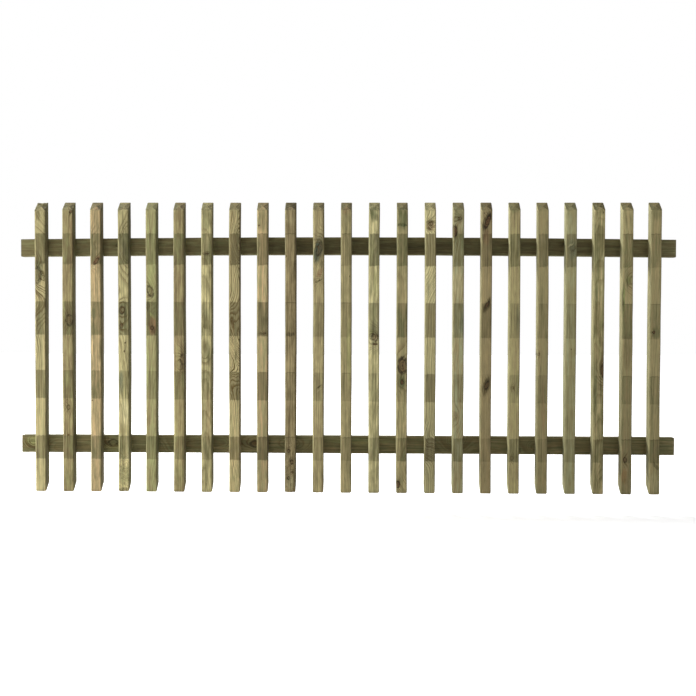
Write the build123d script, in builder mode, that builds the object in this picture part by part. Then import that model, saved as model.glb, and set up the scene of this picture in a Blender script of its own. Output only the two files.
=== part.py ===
"""A picket fence panel: upright palings with slant-cut ends, fixed to the front of two rails.

Millimetres. X runs along the panel from left to right as seen from its front, Y runs from the
front to the back, and Z is up. The origin is the middle of the lower rail's back face, which is
the face that lies against the posts.
"""

from build123d import *
import os

# The panel as it is sold
PANEL_WIDTH = 1800
PANEL_HEIGHT = 795

# Square palings, all cut to one length with the same slant at both ends
PALING_COUNT = 23
PALING_WIDTH = 30
PALING_DEPTH = 30
SLANT_RISE = 25
FRONT_EASING = 4
BACK_EASING = 2

# Two rails, on edge behind the palings
RAIL_HEIGHT = 48
RAIL_DEPTH = 28
RAIL_EASING = 2
RAIL_SPACING = 545
LOWER_RAIL_ABOVE_FOOT = 128
RAIL_END_BEYOND_PALING = 47

RAIL_HEIGHTS = {"lower_rail": 0, "upper_rail": RAIL_SPACING}
RAIL_FRONT_Y = -RAIL_DEPTH
PALING_FRONT_Y = RAIL_FRONT_Y - PALING_DEPTH
FOOT_Z = -LOWER_RAIL_ABOVE_FOOT
TIP_Z = FOOT_Z + PANEL_HEIGHT
PALING_PITCH = (PANEL_WIDTH - 2 * RAIL_END_BEYOND_PALING - PALING_WIDTH) / (PALING_COUNT - 1)


def make_rail(name, height_z):
    """A rail with eased long edges, centred on X, its back face in the plane Y = 0."""
    with BuildPart() as rail:
        with BuildSketch(Plane.YZ.offset(-PANEL_WIDTH / 2)):
            with Locations((-RAIL_DEPTH / 2, height_z)):
                RectangleRounded(RAIL_DEPTH, RAIL_HEIGHT, RAIL_EASING)
        extrude(amount=PANEL_WIDTH)
    rail.part.label = name
    return rail.part


def make_paling(name, centre_x):
    """An upright whose two ends are cut parallel, so that both rise towards the back."""
    left_x = centre_x - PALING_WIDTH / 2
    with BuildPart() as paling:
        with BuildSketch(Plane.YZ.offset(left_x)):
            with BuildLine():
                Polyline(
                    (PALING_FRONT_Y, FOOT_Z),
                    (RAIL_FRONT_Y, FOOT_Z + SLANT_RISE),
                    (RAIL_FRONT_Y, TIP_Z),
                    (PALING_FRONT_Y, TIP_Z - SLANT_RISE),
                    close=True,
                )
            make_face()
        extrude(amount=PALING_WIDTH)
        upright_edges = paling.edges().filter_by(Axis.Z).group_by(Axis.Y)
        fillet(upright_edges[0], FRONT_EASING)
        fillet(upright_edges[-1], BACK_EASING)
    paling.part.label = name
    return paling.part


def paling_centres():
    """The palings' middles along X, from left to right."""
    first = -PALING_PITCH * (PALING_COUNT - 1) / 2
    return [first + PALING_PITCH * place for place in range(PALING_COUNT)]


def main():
    os.makedirs("parts", exist_ok=True)
    pieces = [make_rail(name, height_z) for name, height_z in RAIL_HEIGHTS.items()]
    for number, centre_x in enumerate(paling_centres(), start=1):
        pieces.append(make_paling(f"paling_{number:02d}", centre_x))
    for piece in pieces:
        export_step(piece, f"parts/{piece.label}.step")


main()
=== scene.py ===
import math
import random

import bmesh
import bpy
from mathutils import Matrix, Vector, noise


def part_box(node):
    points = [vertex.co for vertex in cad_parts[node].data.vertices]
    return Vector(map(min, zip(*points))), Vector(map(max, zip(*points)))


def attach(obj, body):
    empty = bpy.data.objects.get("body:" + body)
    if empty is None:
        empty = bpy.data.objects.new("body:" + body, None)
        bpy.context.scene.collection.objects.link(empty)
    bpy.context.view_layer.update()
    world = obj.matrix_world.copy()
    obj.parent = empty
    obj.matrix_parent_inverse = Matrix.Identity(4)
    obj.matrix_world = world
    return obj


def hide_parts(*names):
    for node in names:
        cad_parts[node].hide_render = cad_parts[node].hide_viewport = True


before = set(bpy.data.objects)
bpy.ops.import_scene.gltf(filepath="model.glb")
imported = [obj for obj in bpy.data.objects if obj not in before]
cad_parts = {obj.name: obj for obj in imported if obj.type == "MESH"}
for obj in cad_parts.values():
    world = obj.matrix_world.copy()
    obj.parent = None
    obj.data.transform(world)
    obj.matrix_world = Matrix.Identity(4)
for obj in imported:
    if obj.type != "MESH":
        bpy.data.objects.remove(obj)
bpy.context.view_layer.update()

# Timber is easier to think of in millimetres; Blender's unit is the metre.
MM = 0.001
PALING_NODES = sorted(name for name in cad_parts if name.startswith("paling_"))


def srgb(red, green, blue):
    """A colour as a screen shows it, 0 to 255, in the linear values that the shaders take."""
    values = []
    for level in (red, green, blue):
        share = level / 255
        values.append(share / 12.92 if share <= 0.04045 else ((share + 0.055) / 1.055) ** 2.4)
    return (*values, 1.0)


# Pine that daylight has bleached, named by how it looks in even light
WOODS = {
    "straw": srgb(192, 182, 132),
    "pale_straw": srgb(220, 211, 158),
    "khaki": srgb(170, 160, 115),
    "olive": srgb(154, 148, 102),
    "moss": srgb(146, 150, 102),
    "tan": srgb(172, 157, 115),
    "peach": srgb(190, 164, 122),
    "brown": srgb(148, 132, 95),
    "grey_green": srgb(142, 145, 112),
}
# The same pine where it kept the darker colour of the pressure treatment
SHADES = {
    "green": srgb(108, 111, 73),
    "brown": srgb(118, 109, 76),
    "grey": srgb(116, 114, 83),
    "rail_brown": srgb(103, 97, 65),
    "rail_green": srgb(99, 101, 70),
}
STAINS = {
    "green": srgb(92, 99, 66),
    "lime": srgb(158, 164, 102),
    "red": srgb(136, 98, 72),
    "dark": srgb(54, 50, 32),
    "orange": srgb(160, 118, 74),
    "pale": srgb(200, 192, 146),
    "blue_green": srgb(78, 90, 74),
}
LATEWOOD = srgb(88, 72, 42)
KNOT_HEART = srgb(108, 82, 56)
KNOT_RIM = srgb(42, 34, 22)
PITCH_BLACK = srgb(42, 36, 24)

# Where the panels lay crossed in the stack, the palings' fronts kept their darker colour: bottom
# and top of each band on the first paling and on the last, in millimetres above the lower rail's middle
BANDS = (((-37, 26), (-42, 21)), ((129, 206), (117, 192)),
         ((303, 394), (294, 389)), ((496, 579), (488, 578)))
BAND_DEPTHS = {"deep": 1.0, "plain": 0.85, "faint": 0.5, "none": 0.15}
# How much of its own tone the wood keeps where it is dark, and that tone's brightness
OWN_TONE = 0.45
OWN_TONE_LEVEL = 0.54
# How pale the palings' left sides are made, against 1 on their fronts: partly daylight bleaching, partly
# painted light
SIDE_LIGHT = 0.6
# How much the palings' right sides and the rails' tops are dimmed as painted shade, and how far the palings'
# left sides and the rails' undersides turned grey
SHADED_SIDE_DARK = 0.42
SIDE_GREY = 0.45
# The brightness of all the wood, and how strongly each layer of its grain changes it
WOOD_LEVEL = 1.01
LAYER_SWINGS = (("Fibre", 0.9), ("Blotch", 1.2), ("Streak", 1.3))
# Where knots and stains are centred: at the front face, from the timber's middle into it
FACE_DEPTH = -14.0


class Net:
    """Adds shader nodes to a tree. A value is a number, a colour or another node's socket."""

    def __init__(self, tree):
        self.tree = tree

    def add(self, kind, **settings):
        node = self.tree.nodes.new(kind)
        for name, value in settings.items():
            setattr(node, name, value)
        return node

    def put(self, socket, value):
        if isinstance(value, bpy.types.NodeSocket):
            self.tree.links.new(value, socket)
        elif value is not None:
            socket.default_value = value

    def math(self, operation, *values, clamp=False):
        node = self.add("ShaderNodeMath", operation=operation, use_clamp=clamp)
        for socket, value in zip(node.inputs, values):
            self.put(socket, value)
        return node.outputs[0]

    def times(self, first, *others):
        for other in others:
            first = self.math("MULTIPLY", first, other)
        return first

    def plus(self, first, second):
        return self.math("ADD", first, second)

    def minus(self, first, second):
        return self.math("SUBTRACT", first, second)

    def higher(self, first, second):
        return self.math("MAXIMUM", first, second)

    def scaled(self, value, factor, base):
        """The value times a factor, on top of a base."""
        return self.math("MULTIPLY_ADD", value, factor, base)

    def reach(self, first, second):
        """How long the line is that has these two as its steps, at right angles."""
        return self.math("SQRT", self.plus(self.times(first, first), self.times(second, second)))

    def vector(self, operation, first, second=None, scale=None):
        node = self.add("ShaderNodeVectorMath", operation=operation)
        self.put(node.inputs[0], first)
        if second is not None:
            self.put(node.inputs[1], second)
        if scale is not None:
            self.put(node.inputs["Scale"], scale)
        return node.outputs["Value" if operation == "LENGTH" else "Vector"]

    def split(self, vector):
        node = self.add("ShaderNodeSeparateXYZ")
        self.put(node.inputs[0], vector)
        return node.outputs

    def join(self, *values):
        node = self.add("ShaderNodeCombineXYZ")
        for socket, value in zip(node.inputs, values):
            self.put(socket, value)
        return node.outputs[0]

    def noise(self, place, stretch, detail=2.0, roughness=0.5, output="Fac"):
        """Noise whose features are about as long as stretch says along each axis, in millimetres."""
        node = self.add("ShaderNodeTexNoise")
        per_length = tuple(1 / length for length in stretch)
        self.put(node.inputs["Vector"], self.vector("MULTIPLY", place, per_length))
        node.inputs["Scale"].default_value = 1.0
        node.inputs["Detail"].default_value = detail
        node.inputs["Roughness"].default_value = roughness
        return node.outputs[output]

    def wobble(self, place, stretch, amount):
        """A vector that wanders by up to half the amount to each side."""
        free = self.vector("SUBTRACT", self.noise(place, stretch, output="Color"), (0.5, 0.5, 0.5))
        return self.vector("SCALE", free, scale=amount)

    def smooth(self, value, low, high, to_low=0.0, to_high=1.0):
        node = self.add("ShaderNodeMapRange", interpolation_type="SMOOTHSTEP")
        for name, number in (("Value", value), ("From Min", low), ("From Max", high),
                             ("To Min", to_low), ("To Max", to_high)):
            self.put(node.inputs[name], number)
        return node.outputs["Result"]

    def mix(self, share, first, second, blend="MIX"):
        node = self.add("ShaderNodeMix", data_type="RGBA", blend_type=blend, clamp_factor=True)
        self.put(node.inputs["Factor"], share)
        self.put(node.inputs[6], first)
        self.put(node.inputs[7], second)
        return node.outputs[2]

    def dim(self, colour, level):
        """The colour at a share of its brightness."""
        return self.mix(1.0, colour, self.join(level, level, level), "MULTIPLY")

    def curve(self, value, stops):
        """A smooth run of grey levels through the stops, pairs of place and level."""
        node = self.add("ShaderNodeValToRGB")
        ramp = node.color_ramp
        ramp.interpolation = "EASE"
        while len(ramp.elements) < len(stops):
            ramp.elements.new(1.0)
        for element, (place, level) in zip(ramp.elements, stops):
            element.position = place
            element.color = (level, level, level, 1.0)
        self.put(node.inputs["Fac"], value)
        return node.outputs["Color"]

    def use(self, group, **values):
        """Places a group, sets its inputs by name, a space written as _, and returns its outputs."""
        node = self.add("ShaderNodeGroup", node_tree=group)
        for name, value in values.items():
            self.put(node.inputs[name.replace("_", " ")], value)
        return node.outputs

    def bump(self, height, strength, distance):
        """The normal of a surface roughened by the height, at most as deep as the distance."""
        node = self.add("ShaderNodeBump")
        node.inputs["Strength"].default_value = strength
        node.inputs["Distance"].default_value = distance
        self.put(node.inputs["Height"], height)
        return node.outputs["Normal"]


def new_material(name):
    """A material with nodes: the material, its Net and its shader."""
    material = bpy.data.materials.new(name)
    material.use_nodes = True
    return material, Net(material.node_tree), material.node_tree.nodes["Principled BSDF"]


def new_group(name, inputs, outputs):
    """A node group with the given sockets: the group, its Net, and the sockets of its ins and outs."""
    group = bpy.data.node_groups.new(name, "ShaderNodeTree")
    for direction, sockets in (("INPUT", inputs), ("OUTPUT", outputs)):
        for label, kind in sockets.items():
            group.interface.new_socket(name=label, in_out=direction, socket_type="NodeSocket" + kind)
    net = Net(group)
    return group, net, net.add("NodeGroupInput").outputs, net.add("NodeGroupOutput").inputs


PATCH_INPUTS = {"Place": "Vector", "Centre": "Vector", "Radius": "Float", "Stretch": "Float",
                "Slant": "Float"}


def offset_from(net, given, wobble_size, wobble_reach):
    """How far a point lies from Centre across and along the grain, with an uneven outline."""
    place = net.vector("ADD", given["Place"], net.wobble(given["Place"], wobble_size, wobble_reach))
    across, depth, along = net.split(net.vector("SUBTRACT", place, given["Centre"]))
    along = net.minus(along, net.times(given["Slant"], across))
    along = net.math("DIVIDE", along, given["Stretch"])
    return across, depth, along, net.reach(across, along)


def knot_group():
    """A branch that runs through a timber from front to back, and the grain that flows round it.

    Place and Centre are millimetres across the face, into the depth and along the grain.
    """
    group, net, given, result = new_group(
        "knot", {**PATCH_INPUTS, "Push": "Float", "Reach": "Float"},
        {"Push": "Float", "Core": "Float", "Rim": "Float", "Rings": "Float", "Halo": "Float"})
    across, depth, along, distance = offset_from(net, given, (8, 8, 12), 4.5)
    # The branch thins towards the heart of the tree, behind the front face.
    taper = net.scaled(depth, -0.016, 1.0)
    relative = net.math("DIVIDE", distance, net.times(given["Radius"], taper))
    net.put(result["Core"], net.smooth(relative, 0.84, 1.08, 1.0, 0.0))
    patchy = net.noise(given["Place"], (6, 6, 8), detail=1.0)
    rim = net.smooth(net.math("ABSOLUTE", net.minus(relative, 1.0)), 0.08, 0.40, 1.0, 0.0)
    net.put(result["Rim"], net.times(rim, net.smooth(patchy, 0.30, 0.55, 0.25, 1.0)))
    ripples = net.math("SINE", net.times(relative, 17.0))
    net.put(result["Rings"], net.smooth(ripples, -0.2, 1.0))
    spread = net.math("DIVIDE", relative, given["Reach"])
    fall = net.math("EXPONENT", net.times(spread, spread, -1.0))
    net.put(result["Push"], net.times(fall, net.times(given["Push"], given["Radius"])))
    wide = net.reach(across, net.times(along, 0.55))
    net.put(result["Halo"], net.smooth(net.math("DIVIDE", wide, given["Radius"]), 0.7, 2.6, 1.0, 0.0))
    return group


def stain_group():
    """A patch of another tone with ragged edges that feather out along the grain."""
    group, net, given, result = new_group("stain", PATCH_INPUTS, {"Amount": "Float"})
    distance = offset_from(net, given, (6, 6, 26), 11.0)[-1]
    relative = net.math("DIVIDE", distance, given["Radius"])
    fibres = net.noise(given["Place"], (1.8, 1.8, 30))
    amount = net.smooth(relative, 0.55, 1.15, 1.0, 0.0)
    net.put(result["Amount"], net.times(amount, net.smooth(fibres, 0.30, 0.60, 0.45, 1.0)))
    return group


# How dark the wood is through a year's ring, pale early wood to dark late wood
YEAR = ((0.0, 0.12), (0.38, 0.0), (0.78, 0.7), (0.92, 1.0), (1.0, 0.12))


def growth_rings(net, given, place):
    """The dark late part of each year's ring, from the point's distance to the tree's heart."""
    # The heart leans and wanders along the timber.
    wander = net.wobble(place, (60, 60, 190), given["Waviness"])
    lean = net.vector("SCALE", given["Lean"], scale=net.split(given["Place"])[2])
    from_heart = net.vector("SUBTRACT", given["Place"], net.vector("ADD", given["Heart"], lean))
    from_heart = net.vector("MULTIPLY", net.vector("ADD", from_heart, wander), (1, 1, 0))
    ragged = net.scaled(net.noise(place, (2.8, 2.8, 42), detail=3.0), 1.5, -0.75)
    radius = net.plus(net.vector("LENGTH", from_heart), net.plus(given["Push"], ragged))
    # Good and poor years make the rings wide and narrow.
    years = net.add("ShaderNodeTexNoise", noise_dimensions="1D")
    net.put(years.inputs["W"], net.scaled(radius, 0.11, net.split(given["Seed"])[0]))
    years.inputs["Scale"].default_value = 1.0
    years.inputs["Detail"].default_value = 1.0
    ring = net.scaled(years.outputs["Fac"], 2.4, net.math("DIVIDE", radius, given["Ring Width"]))
    return net.curve(net.math("FRACT", ring), YEAR)


def pin_knots(net, place):
    """The dark dots that dead twigs leave."""
    cells = net.add("ShaderNodeTexVoronoi")
    net.put(cells.inputs["Vector"], net.vector("MULTIPLY", place, (1 / 24, 1 / 24, 1 / 60)))
    cells.inputs["Scale"].default_value = 1.0
    rare = net.smooth(net.split(cells.outputs["Color"])[0], 0.74, 0.76)
    return net.times(net.smooth(cells.outputs["Distance"], 0.03, 0.06, 1.0, 0.0), rare)


def drying_checks(net, place):
    """Fine cracks along the grain, in patches."""
    crack = net.noise(place, (1.3, 1.3, 70), detail=1.0)
    patchy = net.noise(place, (20, 20, 80), detail=1.0)
    return net.times(net.smooth(crack, 0.69, 0.73), net.smooth(patchy, 0.50, 0.60))


def pine_group():
    """Growth rings round the tree's heart, fibres, streaks, blotches, pin knots and drying checks."""
    group, net, given, result = new_group(
        "pine",
        {"Place": "Vector", "Seed": "Vector", "Heart": "Vector", "Lean": "Vector", "Push": "Float",
         "Ring Width": "Float", "Waviness": "Float"},
        {"Late": "Float", "Fibre": "Float", "Check": "Float", "Blotch": "Float", "Streak": "Float",
         "Pin": "Float"})
    place = net.vector("ADD", given["Place"], given["Seed"])
    net.put(result["Late"], growth_rings(net, given, place))
    net.put(result["Fibre"], net.noise(place, (0.8, 0.8, 30), 3.0, 0.65))
    net.put(result["Streak"], net.noise(place, (3.4, 3.4, 150), 3.0, 0.55))
    net.put(result["Blotch"], net.noise(place, (11, 11, 48), 3.0, 0.62))
    net.put(result["Check"], drying_checks(net, place))
    net.put(result["Pin"], pin_knots(net, place))
    return group


def band_group():
    """The darker bands across a paling's front.

    Low gives the strength of the lower three, Top that of the highest, and Share is how far along
    the panel the paling stands, from 0 to 1.
    """
    group, net, given, result = new_group(
        "bands",
        {"Height": "Float", "Place": "Vector", "Low": "Vector", "Top": "Float", "Share": "Float"},
        {"Amount": "Float", "Edge": "Float"})
    uneven = net.noise(given["Place"], (7, 7, 30))
    height = net.plus(given["Height"], net.scaled(uneven, 7.0, -3.5))
    depths = (*net.split(given["Low"]), given["Top"])
    amount = edge = 0.0
    for (first, last), depth in zip(BANDS, depths):
        bottom, top = (net.scaled(given["Share"], float(there - here), float(here))
                       for here, there in zip(first, last))
        rise = net.smooth(net.minus(height, bottom), -2.0, 2.0)
        above = net.minus(height, top)
        fall = net.smooth(above, -1.6, 1.6, 1.0, 0.0)
        amount = net.higher(amount, net.times(rise, fall, depth))
        edge = net.higher(edge, net.smooth(net.math("ABSOLUTE", above), 0.5, 2.0, 1.0, 0.0))
    net.put(result["Amount"], amount)
    net.put(result["Edge"], edge)
    return group


KNOT = knot_group()
STAIN = stain_group()
PINE = pine_group()
BAND = band_group()

# How a knot shows: the fill of its core, its dark rim, the shade round it, and how hard and how
# widely it pushes the grain aside, both in its own radii
KNOT_LOOKS = {
    "dark": dict(fill=0.92, rim=1.0, shade=0.75, push=1.2, reach=2.4),
    "soft": dict(fill=0.5, rim=0.9, shade=0.70, push=1.7, reach=2.6),
    "whorl": dict(fill=0.3, rim=0.8, shade=0.85, push=3.0, reach=3.0),
    "bulge": dict(fill=0.0, rim=0.0, shade=0.30, push=2.2, reach=2.4),
    "pin": dict(fill=0.9, rim=0.8, shade=0.35, push=0.9, reach=2.2),
}


def knot(look, height, side, radius, stretch=1.5, slant=0.0, **changes):
    """A knot: its place along a timber and across its face, its outline, and how it shows."""
    return (height, side, radius, stretch, slant), dict(KNOT_LOOKS[look], **changes)


# What each vertex of a timber tells its material: sawn end, arris, the front, the left side (a rail's
# underside), the right side dimmed as painted shade (a rail's top), and ends' edges darkened as painted
# shade
MARKS = ("cut", "arris", "front", "side", "shaded_side", "edge_shade")


class Wood:
    """The material of one timber while it is built up.

    centre is the timber's middle in metres; axes names the axes across, into and along it.
    """

    def __init__(self, name, centre, axes, look):
        self.material, self.net, self.shader = new_material(name)
        self.look = look
        net = self.net
        self.spot = net.add("ShaderNodeTexCoord").outputs["Object"]
        from_centre = net.vector("SUBTRACT", self.spot, tuple(centre))
        local = net.split(net.vector("SCALE", from_centre, scale=1 / MM))
        order = ["XYZ".index(axis) for axis in axes]
        self.place = net.join(*(local[index] for index in order))
        self.along = local[order[2]]
        self.middle = centre[order[2]] / MM
        self.marks = {mark: net.add("ShaderNodeAttribute", attribute_name=mark).outputs["Fac"]
                      for mark in MARKS}
        self.specks = None

    def sited(self, height, side, radius, stretch=1.0, slant=0.0):
        """A knot's or stain's place and outline, as the inputs of its group."""
        return dict(Place=self.place, Centre=(side, FACE_DEPTH, height - self.middle), Radius=radius,
                    Stretch=stretch, Slant=slant)

    def add_knots(self):
        """The masks of all its knots' cores, rims and shade; returns their push on the rings."""
        net = self.net
        push = self.fill = self.rim = self.rings = self.shade = 0.0
        for outline, shows in self.look.get("knots", ()):
            found = net.use(KNOT, Push=shows["push"], Reach=shows["reach"], **self.sited(*outline))
            push = net.plus(push, found["Push"])
            self.fill = net.higher(self.fill, net.times(found["Core"], shows["fill"]))
            self.rim = net.higher(self.rim, net.times(found["Rim"], shows["rim"]))
            self.rings = net.higher(self.rings, net.times(found["Rings"], found["Core"]))
            self.shade = net.higher(self.shade, net.times(found["Halo"], shows["shade"]))
        return push

    def add_burr(self, push):
        """Small swirls and dark specks between two heights; returns the push with theirs."""
        net = self.net
        low, high = (height - self.middle for height in self.look["burr"])
        inside = net.times(net.smooth(self.along, low - 12.0, low + 4.0),
                           net.smooth(self.along, high - 4.0, high + 12.0, 1.0, 0.0))
        swirl = net.minus(net.noise(self.place, (9, 9, 14)), 0.5)
        specks = net.smooth(net.noise(self.place, (5, 5, 7), roughness=0.6), 0.54, 0.62)
        self.specks = net.times(specks, inside)
        return net.plus(push, net.times(swirl, 34.0, inside))

    def add_grain(self, seed):
        """The pine, its rings pushed aside by the knots, a burr and the look's sweeps."""
        net, look = self.net, self.look
        push = self.add_knots()
        if "burr" in look:
            push = self.add_burr(push)
        for low, high, total in look.get("sweeps", ()):
            push = net.plus(push, net.smooth(
                self.along, float(low - self.middle), float(high - self.middle), 0.0, float(total)))
        self.pine = net.use(
            PINE, Place=self.place, Seed=tuple(seed * step for step in (37.0, 91.0, 613.0)),
            Heart=(*look["heart"], 0.0), Lean=(*look.get("lean", (0.0, 0.0)), 0.0), Push=push,
            Ring_Width=look["ring"], Waviness=look.get("waviness", 9.0))

    def tones(self):
        """The wood in its treated colour, and as daylight bleached it."""
        net, look, pine = self.net, self.look, self.pine
        shades = [SHADES[name] for name in look["shades"].split()]
        treated = net.mix(net.smooth(pine["Blotch"], 0.40, 0.62), shades[0], shades[-1])
        patch = net.scaled(pine["Blotch"], 0.5, net.times(pine["Streak"], 0.6))
        share = net.times(net.smooth(patch, 0.46, 0.66), look["streaks"])
        bleached = net.mix(share, *(WOODS[name] for name in look["woods"].split()))
        bleached = net.mix(net.times(self.marks["side"], SIDE_GREY), bleached, WOODS["grey_green"])
        return net.mix(OWN_TONE, treated, net.dim(bleached, OWN_TONE_LEVEL)), bleached

    def daylight(self, share_along):
        """How far it is bleached, its front most but not in the bands, its left sides partly as painted
        light, and the lines at their tops.
        """
        net, look, marks, streak = self.net, self.look, self.marks, self.pine["Streak"]
        if "bands" not in look:
            return net.times(net.smooth(streak, 0.35, 0.75), look["light"]), 0.0
        depths = [BAND_DEPTHS[word] for word in look["bands"].split()]
        bands = net.use(BAND, Height=net.plus(self.along, self.middle), Place=self.place,
                        Low=tuple(depths[:3]), Top=depths[3], Share=share_along)
        faces = net.times(marks["cut"], look.get("end_light", 0.5))
        # The left sides are made paler, partly bleaching and partly painted light.
        faces = net.higher(faces, net.times(marks["side"], SIDE_LIGHT))
        light = net.higher(net.times(marks["front"], net.minus(1.0, bands["Amount"])), faces)
        light = net.math("ADD", light, net.scaled(streak, 1.4, -0.7), clamp=True)
        return light, net.times(bands["Edge"], marks["front"], look.get("line", 0.08))

    def stained(self, colour):
        net = self.net
        for tone, height, side, radius, strength, *shape in self.look.get("stains", ()):
            found = net.use(STAIN, **self.sited(height, side, radius, *shape))
            amount = net.times(found["Amount"], self.marks["front"], strength)
            colour = net.mix(amount, colour, STAINS[tone])
        return colour

    def grained(self, colour):
        """Latewood lines, stronger round the knots, then fibres, blotches and streaks, and painted shade
        on the palings' right sides and the rails' tops.
        """
        net, look, pine = self.net, self.look, self.pine
        strength = net.scaled(self.shade, 0.9, look["grain"])
        line = net.times(pine["Late"], net.scaled(pine["Streak"], 0.6, 0.5))
        colour = net.mix(net.times(line, strength), colour, LATEWOOD)
        level = WOOD_LEVEL * look.get("level", 1.0)
        for layer, swing in LAYER_SWINGS:
            swing *= look.get("contrast", 1.0)
            level = net.times(net.scaled(pine[layer], swing, 1.04 - swing / 2), level)
        foot, tip = look.get("fade", (1.0, 1.0))
        level = net.times(level, net.smooth(self.along, -400.0, 400.0, foot, tip))
        # Painted shade: the palings' right sides and the rails' tops are dimmed.
        return net.dim(colour, net.times(level, net.scaled(self.marks["shaded_side"], -SHADED_SIDE_DARK, 1.0)))

    def flawed(self, colour):
        """Drying checks, pin knots, a burr's specks and the knots."""
        net = self.net
        colour = net.mix(net.times(self.pine["Check"], 0.6), colour, PITCH_BLACK)
        colour = net.mix(net.times(self.pine["Pin"], 0.8), colour, KNOT_RIM)
        if self.specks is not None:
            colour = net.mix(net.times(self.specks, 0.36), colour, KNOT_RIM)
        if self.look.get("knots"):
            colour = net.mix(net.times(self.shade, 0.5), colour, net.dim(colour, 0.62))
            colour = net.mix(self.fill, colour, net.mix(self.rings, KNOT_HEART, KNOT_RIM))
            colour = net.mix(net.times(self.rim, 0.85), colour, KNOT_RIM)
        return colour

    def weathered(self, colour):
        """Paler wood along the arrises, partly wear and partly a painted highlight, dark end edges of
        painted shade, and grime in patches.
        """
        net, look, marks = self.net, self.look, self.marks
        # Partly wear, partly a painted highlight: pale arrises and tips' front edges, less on the shaded
        # right sides.
        wear_and_highlight = net.times(net.math("SUBTRACT", marks["arris"], marks["shaded_side"], clamp=True),
                         net.smooth(self.pine["Blotch"], 0.36, 0.66, 0.3, 1.0))
        colour = net.mix(net.times(wear_and_highlight, look.get("wear_and_highlight", 0.45)), colour, WOODS["straw"])
        # Painted shade: a dark line along the ends' edges.
        colour = net.mix(net.times(marks["edge_shade"], look.get("edge_shade", 0.6)), colour, PITCH_BLACK)
        grime = net.noise(self.place, (10, 10, 40), 3.0, 0.6)
        grime = net.times(net.smooth(grime, 0.55, 0.72), look.get("grime", 0.3))
        return net.mix(grime, colour, net.dim(SHADES["green"], 0.8))

    def add_surface(self):
        """Dull, finely ribbed wood, with the saw's marks across its ends."""
        net, pine, cut = self.net, self.pine, self.marks["cut"]
        rough = net.plus(net.scaled(pine["Late"], -0.10, 0.80), net.times(cut, 0.12))
        rough = net.plus(rough, net.scaled(pine["Fibre"], 0.14, -0.07))
        net.put(self.shader.inputs["Roughness"], rough)
        self.shader.inputs["Specular IOR Level"].default_value = 0.12
        height = net.scaled(pine["Late"], 0.34, net.times(pine["Fibre"], 0.55))
        height = net.minus(height, net.times(pine["Check"], 1.6))
        height = net.minus(height, net.times(self.rim, 0.7))
        saw_marks = net.times(net.noise(self.place, (40, 0.8, 0.8)), 1.2)
        height = net.plus(height, net.times(saw_marks, cut))
        net.put(self.shader.inputs["Normal"], net.bump(height, 0.6, 0.35 * MM))


def timber_material(name, centre, axes, look, seed, share_along=0.0, screws=None):
    """The wood of one timber. share_along is how far along the panel a paling stands."""
    wood = Wood(name, centre, axes, look)
    net = wood.net
    wood.add_grain(seed)
    treated, bleached = wood.tones()
    light, edge = wood.daylight(share_along)
    colour = wood.stained(net.mix(light, treated, bleached))
    colour = wood.flawed(wood.grained(colour))
    colour = wood.weathered(net.mix(edge, colour, PITCH_BLACK))
    if screws:
        colour = net.mix(screw_marks(net, wood.spot, screws), colour, PITCH_BLACK)
    net.put(wood.shader.inputs["Base Color"], colour)
    wood.add_surface()
    return wood.material


def screw_marks(net, spot, screws):
    """Bruised, darker wood round each screw head on a rail's back. screws is first x, pitch and height."""
    first, pitch, height = screws
    x, y, z = net.split(spot)
    step = net.math("DIVIDE", net.minus(x, first), pitch)
    aside = net.times(net.minus(step, net.math("ROUND", step)), pitch / MM)
    above = net.math("DIVIDE", net.minus(z, height), MM)
    behind = net.math("GREATER_THAN", y, -0.004)
    return net.times(net.smooth(net.reach(aside, above), 4.5, 8.0, 0.55, 0.0), behind)


# The distance between points on a section's flat sides, and the steps in each eased corner
FLAT_STEP = 4.0
ARC_STEPS = 5


def rounded_section(width, depth, front_radius, back_radius):
    """Points round a timber's section, as (across, into, normal across, normal into, arris, corner)."""
    corners = ((1, -1, front_radius), (1, 1, back_radius), (-1, 1, back_radius), (-1, -1, front_radius))
    points = []
    for index, (sign_a, sign_b, radius) in enumerate(corners):
        start = 90 * (index - 1)
        centre = Vector((sign_a * (width / 2 - radius), sign_b * (depth / 2 - radius)))
        for step in range(ARC_STEPS + 1):
            angle = math.radians(start + 90 * step / ARC_STEPS)
            normal = Vector((math.cos(angle), math.sin(angle)))
            spot = centre + normal * radius
            points.append((*spot, *normal, math.sin(math.pi * step / ARC_STEPS), index))
        next_a, next_b, next_radius = corners[(index + 1) % 4]
        there = Vector((next_a * (width / 2 - next_radius), next_b * (depth / 2 - next_radius)))
        there += normal * next_radius
        pieces = max(1, round((there - spot).length / FLAT_STEP))
        for step in range(1, pieces):
            points.append((*spot.lerp(there, step / pieces), *normal, 0.0, index))
    return points


# A face looks to a side where its normal leans that way more than this
FACING = 0.35
END_EASING = 0.7
# The loops of points on a sawn end, as shares of its section
CAP_SCALES = (0.22, 0.44, 0.64, 0.82, 0.95)
SECTION_STEP = 6.0
# The first sections from a timber's end stand closer together, for the eased edge.
END_STATIONS = (0.0, 0.12, 0.35, 0.7, 2.0)
# How far a sawn end reaches round the edge, how far from it the end edges' painted shade and pale line
# reach, and torn fibres from it
CUT_REACH = 0.3
END_EDGE_REACH = 3.0
TORN_REACH = 14.0
# How dark the painted shade makes the feet's front edges and the tips' back edges, and how pale a tip's
# front edge is, partly wear and partly a painted highlight
EDGE_SHADE_ENDS = (1.0, 0.35)
TIP_WEAR_AND_HIGHLIGHT = 0.9
# How far arrises are rubbed off all along and in places, and how far the saw's path wavers
ARRIS_WEAR = 0.12
ARRIS_WEAR_CHANGE = 0.22
RIPPLE = 0.07


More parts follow.
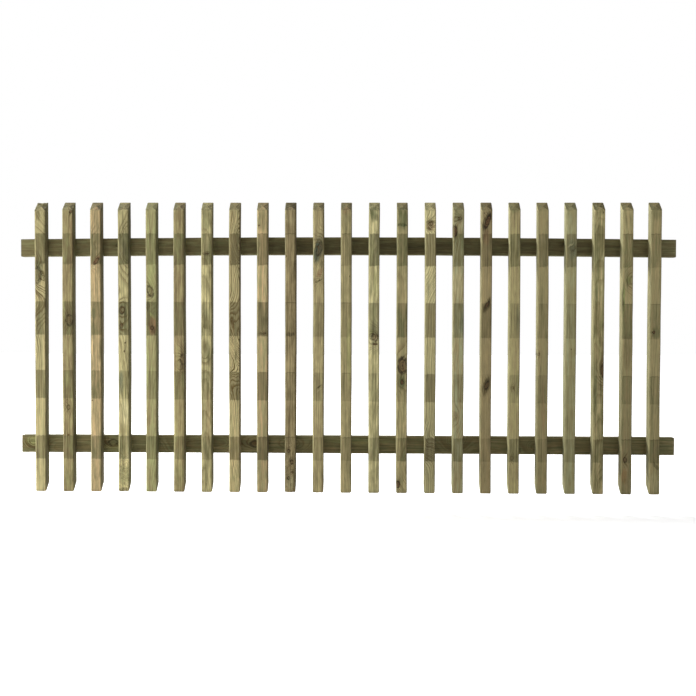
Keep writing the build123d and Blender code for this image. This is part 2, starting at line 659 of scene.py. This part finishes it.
def sections(length):
    """Where a timber's sections are drawn: the place along it, the scale, and whether it caps an end."""
    near = END_STATIONS
    flat = length - 2 * near[-1]
    count = round(flat / SECTION_STEP)
    places = [*near[:-1], *(near[-1] + flat * index / count for index in range(count + 1)),
              *(length - place for place in reversed(near[:-1]))]
    return ([(0.0, scale, True) for scale in CAP_SCALES] + [(place, 1.0, False) for place in places]
            + [(length, scale, True) for scale in reversed(CAP_SCALES)])


class Timber:
    """The mesh of a planed timber, in millimetres but for centre, in metres.

    size is across, into and along, and slant is how much the ends rise from front to back. bow bends
    the timber across, in one and in two curves; crown bends it evenly. ragged tears its two ends.
    """

    def __init__(self, centre, axes, size, seed, slant, bow, crown, ragged, chips):
        self.centre, self.size, self.seed, self.slant = centre, size, seed, slant
        self.bow, self.crown, self.ragged = bow, crown, ragged
        self.body = size[2] - slant
        self.directions = ["XYZ".index(axis) for axis in axes]
        dice = random.Random(seed)
        self.waves = [(dice.uniform(90, 260), dice.uniform(0, math.tau)) for _ in range(3)]
        self.dents = [(dice.uniform(0, self.body), dice.choice((0, 1, 2, 3)), dice.uniform(0.3, 1.1),
                       dice.uniform(3, 9)) for _ in range(chips)]
        self.mesh = bmesh.new()
        self.layers = [self.mesh.verts.layers.float.new(mark) for mark in MARKS]

    def vertex(self, across, into, place, torn, marks):
        share = place / self.body
        depth, length = self.size[1:]
        across += self.bow[0] * math.sin(math.pi * share) + self.bow[1] * math.sin(math.tau * share)
        across += self.crown * (math.sin(math.pi * share) - 0.5)
        along = -length / 2 + place + self.slant * (into + depth / 2) / depth + torn
        spot = [0.0, 0.0, 0.0]
        for axis, value in zip(self.directions, (across, into, along)):
            spot[axis] = self.centre[axis] + value * MM
        new = self.mesh.verts.new(spot)
        for layer, mark in zip(self.layers, marks):
            new[layer] = mark
        return new

    def wear(self, place, normal_a, arris, corner):
        """How far planing, rubbing and knocks take the surface in at one place."""
        ripple = sum(math.sin(place * math.tau / wave + phase + 5 * normal_a) for wave, phase in self.waves)
        rough = noise.noise(Vector((place / 9, corner * 7.3, self.seed * 3.1)))
        rubbed = ARRIS_WEAR + ARRIS_WEAR_CHANGE * rough
        for dent_place, dent_corner, dent_depth, dent_length in self.dents:
            if dent_corner == corner:
                rubbed += dent_depth * math.exp(-(((place - dent_place) / dent_length) ** 2))
        return arris * rubbed - ripple * RIPPLE

    def tear(self, across, into, end, gap, cap):
        """How far a sawn or torn end stands out or in at one point."""
        if self.ragged[end] and gap < TORN_REACH:
            grit = noise.fractal(Vector((across / 4.5, into / 4.5, self.seed * 1.7 + end * 9)), 1.0, 2.0, 3)
            inward = 1 - 2 * end
            return inward * self.ragged[end] * (1 - gap / TORN_REACH) ** 2 * (0.45 + grit)
        if cap:
            return 0.12 * noise.noise(Vector((across / 2.2, into / 2.2, self.seed * 1.7 + end * 9)))
        return 0.0

    def loop(self, outline, place, scale, cap):
        """The vertices of one section."""
        gap = min(place, self.body - place)
        inset = 0.0
        if gap < END_EASING:
            inset = END_EASING - math.sqrt(END_EASING ** 2 - (END_EASING - gap) ** 2)
        end = 0 if place < self.body / 2 else 1
        # Painted shade darkens the feet's front edges and the tips' back edge; the tips' front edge is made
        # pale, partly wear and partly a painted highlight.
        outer = max(0.0, 1 - gap / END_EDGE_REACH) * max(0.0, 1 - (1 - scale) / 0.18)
        vertices = []
        for a, b, normal_a, normal_b, arris, corner in outline:
            wear = inset + self.wear(place, normal_a, arris, corner)
            across = (a - normal_a * wear) * scale
            into = (b - normal_b * wear) * scale
            # Painted shade along the ends' edges.
            edge_shade = outer * EDGE_SHADE_ENDS[end] if (into < 0) == (end == 0) else 0.0
            # Partly wear, partly a painted highlight: a pale line along the tips' front edges.
            rubbed = max(arris, TIP_WEAR_AND_HIGHLIGHT * outer) if end == 1 and into < 0 else arris
            marks = (float(cap or gap < CUT_REACH), rubbed, float(normal_b < -FACING),
                     float(normal_a < -FACING), float(normal_a > FACING), edge_shade)
            vertices.append(self.vertex(across, into, place, self.tear(across, into, end, gap, cap), marks))
        return vertices

    def build(self, name, radii):
        outline = rounded_section(*self.size[:2], *radii)
        loops = [self.loop(outline, *section) for section in sections(self.body)]
        join_loops(self.mesh, loops)
        for loop, place in ((loops[0], 0.0), (loops[-1], self.body)):
            middle = self.vertex(0.0, 0.0, place, 0.0, (1.0, 0.0, 0.0, 0.0, 0.0, 0.0))
            close_loop(self.mesh, loop, middle)
        return finish_mesh(self.mesh, name)


def join_loops(mesh, loops):
    """Faces between each loop of vertices and the next."""
    for lower, upper in zip(loops, loops[1:]):
        for index in range(len(lower)):
            following = (index + 1) % len(lower)
            mesh.faces.new((lower[index], lower[following], upper[following], upper[index]))


def close_loop(mesh, loop, middle):
    """A fan of faces from a loop of vertices to its middle."""
    for index in range(len(loop)):
        mesh.faces.new((loop[index], loop[(index + 1) % len(loop)], middle))


def finish_mesh(mesh, name):
    """Turns a bmesh into an object in the scene, smooth all over with its normals outwards."""
    bmesh.ops.recalc_face_normals(mesh, faces=mesh.faces)
    for face in mesh.faces:
        face.smooth = True
    data = bpy.data.meshes.new(name)
    mesh.to_mesh(data)
    mesh.free()
    piece = bpy.data.objects.new(name, data)
    bpy.context.scene.collection.objects.link(piece)
    return piece


# The palings from the left. Heights are millimetres above the lower rail's middle, sides from the
# paling's middle. woods are its two bleached tones and shades the treated ones; streaks says how
# much of the second shows, heart and lean where the tree's heart runs, and ring how wide its rings
# are. bands names the strength of the four dark bands from the lowest up, line that of the lines at
# their tops, and fade the brightness at the foot and the tip. sweeps push the rings aside by a third
# value between two heights. A stain is its tone, height, side, radius, strength, stretch and slant.
LOOKS = [
    dict(woods="straw tan", streaks=0.7, shades="brown green", heart=(-56, 16), lean=(0.04, 0.02),
         ring=5.6, grain=0.8, bands="plain plain plain deep", fade=(1.0, 0.88), level=1.03,
         end_light=0.15, sweeps=((486, 645, 100), (392, 452, 14), (296, 396, -22)), ragged=(0.0, 2.4),
         knots=[knot("whorl", 466, -9, 12, 1.7, shade=0.8, push=2.2, reach=2.2),
                knot("bulge", 350, -16, 10, 3.4, push=1.6)],
         stains=[("green", 476, -4, 15, 0.85, 2.2), ("dark", 497, 6, 5, 0.6, 2.2),
                 ("dark", 628, -6, 7, 0.55, 2.6, 0.8), ("dark", 560, 8, 4, 0.5, 5.0, -0.6)]),
    dict(woods="brown olive", streaks=0.8, shades="brown green", heart=(60, 12), ring=3.6, grain=0.35,
         bands="plain plain plain plain",
         knots=[knot("soft", 342, 4, 9, 1.5, fill=0.3), knot("dark", 638, 9, 4, 1.2),
                knot("whorl", 104, 1, 4.5, 1.3), knot("pin", 28, 0, 2.2, 1.0)],
         stains=[("dark", 336, 9, 7, 0.35, 2.0), ("green", -95, 0, 14, 0.4, 2.0),
                 ("red", 560, 10, 5, 0.4, 14)]),
    dict(woods="tan peach", streaks=0.75, shades="green brown", heart=(-52, 30), ring=4.8, grain=0.32,
         bands="plain plain plain plain", end_light=0.1, level=0.95, fade=(1.02, 0.96),
         knots=[knot("soft", 504, 3, 7, 0.8, 0.9, fill=0.6), knot("pin", 123, -10, 1.8, 1.0),
                knot("bulge", 545, -12, 9, 2.6)],
         stains=[("red", 507, 3, 11, 0.75, 0.6, 0.9), ("green", 360, -4, 9, 0.6, 2.0),
                 ("red", 650, 5, 8, 0.4, 1.2), ("pale", 488, -4, 8, 0.5, 0.5, 0.9)]),
    dict(woods="khaki straw", streaks=0.8, shades="green grey", heart=(-20, 44), lean=(0.02, 0.06),
         ring=5.2, grain=0.65, end_light=1.1, bands="plain faint deep deep", fade=(1.2, 0.78),
         ragged=(2.2, 0.0), level=1.02, burr=(-128, -30),
         knots=[knot("whorl", 370, -4, 6.5, 1.5), knot("soft", 327, -5, 4.5, 1.3),
                knot("pin", 281, 5, 2.2, 1.0), knot("pin", 258, 3, 1.6, 1.0),
                knot("bulge", 545, 10, 11, 2.4)],
         stains=[("dark", 352, 6, 7, 0.45, 3.0), ("blue_green", 172, -7, 9, 0.6, 4.0),
                 ("dark", 540, 4, 7, 0.45, 4.0, 0.6), ("dark", -122, 0, 16, 0.7, 0.5),
                 ("pale", 92, 1, 14, 0.6, 3.2), ("green", -85, 0, 14, 0.5, 2.4)]),
    dict(woods="khaki moss", streaks=0.9, shades="green brown", heart=(30, 40), lean=(0.03, 0.04),
         ring=4.6, grain=0.45, end_light=1.0, bands="plain faint deep plain", fade=(1.05, 1.02),
         knots=[knot("whorl", 422, -2, 9, 1.4, -0.6, shade=0.45), knot("dark", 322, 3, 4, 1.3)],
         stains=[("dark", 382, -9, 8, 0.7, 2.0), ("lime", 356, 2, 8, 0.7, 0.8, -0.9),
                 ("red", 328, 4, 12, 0.8, 2.4), ("dark", 350, -8, 9, 0.65, 3.4),
                 ("dark", 316, 8, 5, 0.6, 2.4), ("lime", 462, 0, 12, 0.35, 4.0),
                 ("red", 90, -8, 6, 0.35, 12)]),
    dict(woods="brown olive", streaks=0.7, shades="brown green", heart=(48, 6), ring=3.4, grain=0.40,
         bands="plain plain plain deep", end_light=1.3, level=1.06, fade=(1.16, 0.92),
         knots=[knot("whorl", 236, 13, 9, 1.5, fill=0.1, push=3.4, shade=1.0),
                knot("bulge", 205, 8, 7, 1.6)],
         stains=[("dark", 214, 6, 5, 0.55, 2.4), ("green", -90, 0, 15, 0.3, 3.0)]),
    dict(woods="khaki straw", streaks=0.9, shades="green brown", heart=(-6, 38), lean=(0.0, 0.07),
         ring=4.8, grain=0.5, bands="faint faint faint plain", end_light=0.9, fade=(0.88, 0.98),
         knots=[knot("bulge", 268, -5, 6, 3.2, shade=0.35), knot("soft", 524, 0, 5, 0.5)],
         stains=[("green", 620, 0, 14, 0.5, 2.6), ("dark", 525, 0, 12, 0.5, 0.25),
                 ("green", 345, 2, 12, 0.4, 3.0), ("red", 80, 4, 7, 0.35, 12),
                 ("green", 258, 3, 12, 0.4, 2.6)]),
    dict(woods="straw tan", streaks=0.8, shades="brown", heart=(-40, 14), lean=(0.05, 0.02), ring=3.2,
         grain=1.15, bands="deep deep deep deep", fade=(1.28, 0.88), end_light=0.8, waviness=22.0,
         sweeps=((206, 312, 40), (126, 214, -26), (490, 585, 26)),
         knots=[knot("bulge", 182, -16, 10, 1.8, push=2.6), knot("bulge", 545, 16, 9, 2.0, push=2.2),
                knot("bulge", 262, 14, 10, 2.2, push=1.6), knot("bulge", 345, -14, 9, 2.2)],
         stains=[("dark", 250, 4, 3.5, 0.5, 5.0, 1.5), ("dark", 285, -5, 3, 0.5, 4.0, -1.5)]),
    dict(woods="straw peach", streaks=0.9, shades="brown", heart=(44, 30), lean=(0.02, 0.03), ring=5.0,
         grain=0.35, bands="deep plain plain deep", line=0.3, fade=(0.78, 1.0), end_light=0.25,
         knots=[knot("pin", 601, -9, 2.2, 1.0), knot("soft", 308, 5, 4, 0.6)],
         stains=[("green", 615, 0, 14, 0.55, 2.6), ("dark", 340, 5, 6, 0.4, 2.6),
                 ("dark", 308, 0, 13, 0.5, 0.3)]),
    dict(woods="brown tan", streaks=0.7, shades="brown", heart=(-58, 0), ring=3.2, grain=0.32,
         bands="faint faint none none", end_light=0.15, level=0.75, fade=(1.12, 1.04), line=0.4,
         burr=(-128, 24), ragged=(1.8, 0.0),
         knots=[knot("dark", -14, -4, 3.5, 1.2, fill=0.5), knot("dark", -44, 5, 4, 1.4, fill=0.5),
                knot("dark", -72, 6, 3, 1.0), knot("dark", -88, -4, 3.5, 1.2, fill=0.5)],
         stains=[("dark", 306, 0, 14, 0.7, 0.5), ("red", 640, 0, 12, 0.4, 2.2),
                 ("pale", 630, 0, 14, 0.3, 2.0), ("pale", -100, 0, 12, 0.6, 2.0)]),
    dict(woods="tan khaki", streaks=0.7, shades="brown green", heart=(38, 26), ring=4.0, grain=0.42,
         bands="faint faint faint none", ragged=(1.0, 0.0),
         knots=[knot("whorl", 537, 3, 8, 1.8, 1.2, fill=0.35),
                knot("bulge", 455, 4, 8, 0.7, 0.8, push=2.0, shade=0.4)],
         stains=[("blue_green", 538, 2, 13, 0.7, 2.8, 1.1), ("dark", 548, -2, 5, 0.6, 3.2, 1.1),
                 ("blue_green", 528, -4, 12, 1.0, 2.4, 1.1), ("red", 474, 4, 10, 0.7, 1.2, 0.8),
                 ("dark", 452, 2, 12, 0.8, 0.25, 0.6), ("dark", 163, 3, 8, 0.8, 0.4, 0.8),
                 ("pale", 153, 3, 8, 0.4, 0.4, 0.8), ("dark", 495, 10, 5, 0.5, 2.4)]),
    dict(woods="khaki tan", streaks=0.7, shades="brown", heart=(-66, 10), ring=3.4, grain=0.32,
         bands="faint faint faint faint", level=0.93, line=0.4,
         stains=[("red", 650, 0, 14, 0.5, 1.6), ("lime", 260, 8, 6, 0.4, 18)]),
    dict(woods="straw pale_straw", streaks=0.7, shades="grey green", heart=(20, 36), lean=(0.0, 0.05),
         ring=4.8, grain=0.35, bands="faint faint plain deep", end_light=0.8, fade=(0.80, 0.90),
         level=1.06,
         knots=[knot("whorl", 298, 2, 8.5, 1.2), knot("dark", 279, 3, 6, 0.4)],
         stains=[("green", 440, -9, 4, 0.4, 9), ("dark", 280, 2, 12, 0.6, 0.35),
                 ("lime", 445, 4, 8, 0.35, 6), ("green", 640, -3, 14, 0.85, 2.2),
                 ("red", 296, 4, 7, 0.6, 1.2), ("dark", 622, 6, 5, 0.5, 2.0),
                 ("pale", 290, 2, 11, 0.8, 0.4, 0.5), ("pale", 270, 2, 12, 0.7, 0.3),
                 ("lime", 314, -7, 5, 0.7, 1.0)]),
    dict(woods="khaki tan", streaks=0.7, shades="green brown", heart=(-14, 42), lean=(0.03, 0.03),
         ring=3.8, grain=0.45, bands="plain faint plain plain", end_light=0.8, fade=(1.06, 0.96),
         knots=[knot("dark", 221, 1, 11.5, 1.75, fill=0.7), knot("dark", 175, 0, 4, 1.6, push=2.0),
                knot("dark", -104, -11, 5.5, 1.6), knot("bulge", -60, 6, 8, 3.0)],
         stains=[("dark", 603, 0, 16, 1.0, 0.3), ("green", 625, 0, 16, 0.85, 2.6),
                 ("green", 177, 0, 9, 0.9, 2.6), ("green", 330, -2, 10, 0.3, 5),
                 ("green", 95, 2, 12, 0.4, 3.0)]),
    dict(woods="pale_straw khaki", streaks=0.7, shades="brown", heart=(-44, 20), lean=(0.03, 0.02),
         ring=3.4, grain=0.95, bands="plain plain plain deep", end_light=0.8, fade=(0.72, 1.16),
         waviness=18.0, sweeps=((380, 505, -40), (-60, 60, 50)),
         knots=[knot("whorl", 606, 0, 6, 0.8), knot("soft", 592, -3, 3.4, 0.6),
                knot("bulge", 0, -12, 10, 2.0, push=2.4)],
         stains=[("red", 600, 0, 13, 0.6, 1.4), ("dark", 611, 0, 14, 0.8, 0.3),
                 ("dark", 594, -5, 6, 0.7, 0.5), ("green", 440, -6, 2.5, 0.35, 14)]),
    dict(woods="tan grey_green", streaks=0.9, shades="green grey", heart=(36, 30), lean=(0.02, 0.05),
         ring=4.2, grain=0.45, bands="plain faint plain plain", level=1.14, end_light=0.9,
         fade=(0.90, 1.02),
         knots=[knot("dark", 586, -12, 7, 2.2), knot("bulge", 80, 0, 6, 2.6, push=2.4, shade=0.4),
                knot("whorl", 620, 2, 5, 0.8)],
         stains=[("green", 560, 9, 7, 0.5, 5), ("green", 632, 0, 14, 0.5, 2.0),
                 ("pale", 445, 0, 14, 0.5, 3.4), ("blue_green", 340, 10, 6, 0.5, 6),
                 ("dark", 586, -9, 6, 0.9, 2.6)]),
    dict(woods="tan brown", streaks=0.8, shades="brown", heart=(52, -10), ring=3.6, grain=0.40,
         bands="faint none plain plain", level=0.97, fade=(0.86, 1.0),
         knots=[knot("dark", 612, 2, 8, 1.5, 1.5), knot("dark", 387, 2, 5.5, 1.0, 1.1),
                knot("soft", 168, 2, 6, 1.4, 1.1)],
         stains=[("dark", 614, 0, 14, 0.95, 1.6, 1.5), ("dark", 386, 2, 13, 0.9, 1.2, 1.3),
                 ("dark", 166, 1, 12, 0.85, 2.0, 1.3), ("red", 570, 0, 12, 0.4, 2.0)]),
    dict(woods="tan olive", streaks=0.8, shades="green grey", heart=(-46, 20), ring=3.8, grain=0.38,
         bands="plain faint faint plain", level=1.1, fade=(0.95, 1.02),
         knots=[knot("soft", 161, -5, 3.5, 1.2, fill=0.2, rim=0.5),
                knot("soft", -31, -6, 4, 1.3, fill=0.2, rim=0.5)],
         stains=[("green", 650, 0, 14, 0.6, 1.4), ("blue_green", 350, 9, 6, 0.4, 7),
                 ("green", 170, 9, 6, 0.4, 6)]),
    dict(woods="khaki brown", streaks=0.8, shades="brown grey", heart=(60, 20), ring=3.3, grain=0.30,
         bands="faint faint faint plain", level=0.95, end_light=1.2, fade=(0.84, 1.04),
         knots=[knot("soft", 253, -11, 3.2, 1.2)],
         stains=[("red", 110, 2, 6, 0.3, 12)]),
    dict(woods="khaki grey_green", streaks=0.7, shades="grey brown", heart=(-60, 24), ring=3.5,
         grain=0.30, bands="faint none faint plain", fade=(0.87, 1.04), end_light=0.8,
         knots=[knot("whorl", 541, 3, 6, 1.0, 0.4, fill=0.0, rim=0.3, shade=0.5)],
         stains=[("blue_green", 535, 3, 11, 0.5, 2.8), ("dark", 534, 6, 7, 0.5, 0.5, 0.8),
                 ("pale", 548, -2, 8, 0.5, 0.4, 0.6)]),
    dict(woods="olive tan", streaks=1.0, shades="brown green", heart=(10, 48), lean=(0.0, 0.08), ring=4.6,
         grain=0.5, bands="plain faint none faint", level=1.06, end_light=0.2, fade=(0.76, 1.08),
         waviness=15.0,
         knots=[knot("soft", 208, 14, 9, 1.9), knot("bulge", 318, 16, 8, 3.0, push=1.6)],
         stains=[("green", 520, -9, 8, 0.65, 20), ("green", 150, -9, 7, 0.6, 16),
                 ("dark", 215, 6, 6, 0.5, 2.2, -1.2), ("pale", 460, 8, 4, 0.4, 20)]),
    dict(woods="khaki brown", streaks=0.8, shades="green brown", heart=(-30, 40), lean=(0.03, 0.04),
         ring=4.0, grain=0.42, bands="faint faint plain plain", fade=(0.68, 1.22), line=0.35,
         knots=[knot("whorl", 453, 8, 9, 1.2, fill=0.0, rim=0.4, shade=0.6), knot("soft", -34, -3, 5, 1.2)],
         stains=[("green", 400, -12, 5, 0.9, 11), ("lime", 455, 3, 10, 0.6, 1.2, 0.4),
                 ("lime", 400, -10, 2.5, 0.7, 16), ("dark", 395, -13, 3, 0.8, 12),
                 ("dark", 258, 0, 14, 0.4, 4.0), ("orange", -80, -6, 8, 0.55, 3.0),
                 ("green", 470, 0, 12, 0.4, 3.0)]),
    dict(woods="khaki brown", streaks=0.7, shades="green brown", heart=(40, 40), lean=(0.02, 0.03),
         ring=4.2, grain=0.36, bands="plain faint faint faint", end_light=1.0, level=0.96,
         fade=(0.88, 1.0), line=0.35,
         knots=[knot("dark", 313, -5, 3.2, 1.2)],
         stains=[("green", 312, 2, 12, 0.5, 1.6), ("dark", -50, 3, 10, 0.6, 0.9, -0.9),
                 ("pale", -95, 0, 15, 0.4, 2.0), ("green", 640, 0, 14, 0.4, 2.0)]),
]
# The rails seen along X; side is the height above a rail's middle. crown is how far its middle bends up.
RAIL_LOOKS = {
    "upper_rail": dict(
        woods="brown olive", streaks=0.7, shades="rail_brown rail_green", heart=(40, 30), ring=4.4,
        grain=0.25, crown=6.0, grime=0.5, light=0.2, wear_and_highlight=0.15, contrast=0.6, edge_shade=0.2,
        knots=[knot("soft", -628, 4, 5, fill=0.3), knot("soft", 600, 8, 5, fill=0.3),
               knot("bulge", -340, -8, 8)],
        # Its long dark stains on the front, strongest in the middle, are painted shade: the deep shade
        # between the palings.
        stains=[("dark", 20, 0, 26, 0.62, 11.0), ("dark", 330, 0, 26, 0.5, 9.0),
                ("dark", 600, 0, 24, 0.4, 8.0), ("dark", -240, 0, 24, 0.4, 7.0)]),
    "lower_rail": dict(
        woods="olive brown", streaks=0.8, shades="rail_green rail_brown", heart=(-12, 46),
        lean=(0.0, 0.03), ring=5.6, grain=0.5, crown=0.6, grime=0.5, light=0.45, wear_and_highlight=0.15, contrast=0.75,
        edge_shade=0.2,
        knots=[knot("whorl", -868, 0, 9, push=3.4, fill=0.0, rim=0.4),
               knot("whorl", -646, 4, 8, fill=0.1), knot("bulge", -430, -2, 10, 2.4, push=3.2),
               knot("bulge", -352, 2, 9, 2.4, push=3.0), knot("whorl", -250, 2, 8, 1.8, fill=0.1),
               knot("bulge", -150, 0, 8, 2.2, push=3.0), knot("bulge", 520, -5, 8, push=2.4),
               knot("bulge", 300, 6, 10)],
        stains=[("lime", -868, 6, 14, 0.5, 2.0), ("lime", -640, -8, 12, 0.3, 3.0),
                ("lime", 40, 10, 8, 0.25, 12.0)]),
}

# The radii of the timbers' long edges, front and back, and how far a paling's ends rise to the back
PALING_EASINGS = (4.0, 2.0)
RAIL_EASINGS = (2.0, 2.0)
SLANT_RISE = 25.0
PALING_SEED = 100
RAIL_SEED = 40


def size_of(node):
    """A timber's middle in metres, and its size in millimetres."""
    low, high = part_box(node)
    return (low + high) / 2, [side / MM for side in high - low]


def dress_palings():
    for number, (node, look) in enumerate(zip(PALING_NODES, LOOKS), start=1):
        centre, size = size_of(node)
        dice = random.Random(PALING_SEED + number)
        bow = (dice.uniform(-0.9, 0.9), dice.uniform(-0.4, 0.4))
        timber = Timber(centre, "XYZ", size, number, SLANT_RISE, bow, 0.0,
                        look.get("ragged", (0.0, 0.0)), chips=dice.randint(3, 8))
        piece = timber.build(node + "_wood", PALING_EASINGS)
        share_along = (number - 1) / (len(LOOKS) - 1)
        piece.data.materials.append(timber_material(
            node + "_pine", centre, "XYZ", look, number, share_along))
        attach(piece, "root")
        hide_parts(node)


def paling_spacing():
    """The first paling's middle along X and the step from one paling to the next, in metres."""
    middles = [size_of(node)[0][0] for node in PALING_NODES]
    return middles[0], (middles[-1] - middles[0]) / (len(middles) - 1)


def dress_rails():
    first, pitch = paling_spacing()
    for number, (node, look) in enumerate(RAIL_LOOKS.items(), start=1):
        centre, (length, depth, height) = size_of(node)
        seed = RAIL_SEED + number
        timber = Timber(centre, "ZYX", (height, depth, length), seed, 0.0, (0.0, 0.0), look["crown"],
                        (0.0, 0.0), chips=14)
        piece = timber.build(node + "_wood", RAIL_EASINGS)
        piece.data.materials.append(timber_material(
            node + "_pine", centre, "ZYX", look, seed, screws=(first, pitch, centre[2])))
        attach(piece, "root")
        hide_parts(node)
        add_screws(node + "_screws", centre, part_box(node)[1][1], length, look["crown"], first, pitch, seed)


# How far a screw's flat head stands out of the rail's back
SCREW_PROUD = 0.35


def add_screws(name, centre, back, length, crown, first, pitch, seed):
    """One countersunk screw in the rail's back behind each paling."""
    mesh = bmesh.new()
    dice = random.Random(seed)
    for index in range(len(PALING_NODES)):
        x = first + pitch * index
        share = (x - centre[0]) / MM / length + 0.5
        z = centre[2] + crown * (math.sin(math.pi * share) - 0.5) * MM
        screw_head(mesh, Vector((x, back + SCREW_PROUD * MM, z)), dice.uniform(0, math.tau))
    piece = finish_mesh(mesh, name)
    piece.data.materials.append(steel_material())
    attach(piece, "root")


# The head's loops of points as (radius, height over its flat face), in millimetres
HEAD_LOOPS = ((4.0, -1.1), (4.0, -0.12), (3.85, 0.0), (3.5, 0.0), (3.0, 0.0), (2.5, 0.0), (2.0, 0.0),
              (1.6, 0.0), (1.2, 0.0), (0.8, 0.0), (0.4, 0.0))
HEAD_POINTS = 48
HEAD_BASE = -1.6
# The cross recess: how far its arms reach, half their width, and its depth at their tips and middle
RECESS_REACH = 2.4
RECESS_HALF_WIDTH = 0.45
RECESS_TIP = 0.75
RECESS_MIDDLE = 1.35


def screw_head(mesh, place, turn):
    """A flat round head with a cross recess, facing +Y. The recess sinks where the cross lies."""
    loops = []
    for radius, sunk in HEAD_LOOPS:
        loop = []
        for index in range(HEAD_POINTS):
            angle = math.tau * index / HEAD_POINTS
            across = abs(radius * math.sin(2 * angle) / 2)
            height = sunk
            if radius < RECESS_REACH and across < RECESS_HALF_WIDTH:
                height = -RECESS_TIP - (RECESS_MIDDLE - RECESS_TIP) * (1 - radius / RECESS_REACH)
            around = Vector((radius * math.cos(angle + turn), height, radius * math.sin(angle + turn)))
            loop.append(mesh.verts.new(place + around * MM))
        loops.append(loop)
    join_loops(mesh, loops)
    close_loop(mesh, loops[-1], mesh.verts.new(place + Vector((0, -RECESS_MIDDLE, 0)) * MM))
    close_loop(mesh, loops[0], mesh.verts.new(place + Vector((0, HEAD_BASE, 0)) * MM))


def steel_material():
    """Dull zinc on the screws, spotted with white bloom and a little rust."""
    if "screw_zinc" in bpy.data.materials:
        return bpy.data.materials["screw_zinc"]
    material, net, shader = new_material("screw_zinc")
    place = net.vector("SCALE", net.add("ShaderNodeTexCoord").outputs["Object"], scale=1 / MM)
    fine = net.noise(place, (0.5, 0.5, 0.5), detail=3.0)
    wide = net.noise(place, (3.0, 3.0, 3.0), detail=3.0)
    colour = net.mix(net.smooth(wide, 0.40, 0.60), srgb(150, 148, 140), srgb(176, 172, 158))
    colour = net.mix(net.times(net.smooth(fine, 0.55, 0.70), 0.5), colour, srgb(120, 84, 56))
    net.put(shader.inputs["Base Color"], colour)
    shader.inputs["Metallic"].default_value = 0.85
    net.put(shader.inputs["Roughness"], net.scaled(wide, 0.3, 0.30))
    net.put(shader.inputs["Normal"], net.bump(fine, 0.4, 0.1 * MM))
    return material


def camera():
    """The photograph's view: a 52 mm lens about 2.8 m in front, turned a little left and down."""
    data = bpy.data.cameras.new("camera")
    data.lens = 52.017
    data.sensor_width = 36.0
    eye = bpy.data.objects.new("camera", data)
    eye.location = (0.05786, -2.79542, 0.33357)
    eye.rotation_euler = (1.54698, -0.00237, 0.01928)
    bpy.context.scene.collection.objects.link(eye)
    bpy.context.scene.camera = eye


def softbox(name, place, target, width, height, power):
    data = bpy.data.lights.new(name, "AREA")
    data.shape = "RECTANGLE"
    data.size, data.size_y = width, height
    data.energy = power
    lamp = bpy.data.objects.new(name, data)
    lamp.location = place
    lamp.rotation_euler = (Vector(target) - Vector(place)).to_track_quat("-Z", "Y").to_euler()
    lamp.visible_camera = False
    bpy.context.scene.collection.objects.link(lamp)


def seen_directly(net):
    """1 for what the camera sees straight, in a mirror or through glass, 0 for light on its way."""
    path = net.add("ShaderNodeLightPath").outputs
    seen = net.higher(path["Is Camera Ray"], path["Is Glossy Ray"])
    return net.higher(seen, path["Is Transmission Ray"])


# How bright the white world is as light, against 1 where it is seen
WORLD_LIGHT = 0.17


def studio():
    """Daylight from high behind on the left, softened by boxes at the side and in front."""
    middle = (0.0, -0.03, 0.27)
    softbox("sky_light", (-2.2, 2.6, 3.3), middle, 1.2, 1.2, 330)
    softbox("side_light", (-2.9, -0.5, 0.9), middle, 1.2, 1.6, 52.5)
    softbox("edge_light", (-3.4, 1.0, 1.6), middle, 0.6, 0.6, 42.5)
    softbox("near_light", (-1.3, -1.6, 0.9), (-0.7, 0.0, 0.27), 1.0, 1.4, 8.5)
    softbox("fill_light", (1.9, -2.0, 0.8), (0.5, 0.0, 0.27), 1.2, 1.6, 10.5)
    world = bpy.data.worlds.new("studio")
    world.use_nodes = True
    bpy.context.scene.world = world
    net = Net(world.node_tree)
    background = world.node_tree.nodes["Background"]
    background.inputs["Color"].default_value = (1, 1, 1, 1)
    net.put(background.inputs["Strength"], net.scaled(seen_directly(net), 1 - WORLD_LIGHT, WORLD_LIGHT))


# In metres
FLOOR_HALF_SIZE = 14.0
FLOOR_BELOW_FEET = 0.05


def floor():
    """A pale floor a little under the palings' feet. What the camera sees of it is lifted to white."""
    mesh = bmesh.new()
    bmesh.ops.create_grid(mesh, x_segments=1, y_segments=1, size=FLOOR_HALF_SIZE)
    ground = finish_mesh(mesh, "floor")
    ground.location = (0, 0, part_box(PALING_NODES[0])[0][2] - FLOOR_BELOW_FEET)
    material, net, shader = new_material("floor")
    shader.inputs["Base Color"].default_value = (0.8, 0.8, 0.8, 1)
    shader.inputs["Roughness"].default_value = 0.9
    away = net.vector("LENGTH", net.add("ShaderNodeTexCoord").outputs["Object"])
    lift = net.smooth(away, 1.0, 5.0, 0.62, 1.0)
    shader.inputs["Emission Color"].default_value = (1, 1, 1, 1)
    net.put(shader.inputs["Emission Strength"], net.times(seen_directly(net), lift))
    ground.data.materials.append(material)


dress_palings()
dress_rails()
camera()
studio()
floor()
bpy.context.scene.view_settings.view_transform = "Standard"
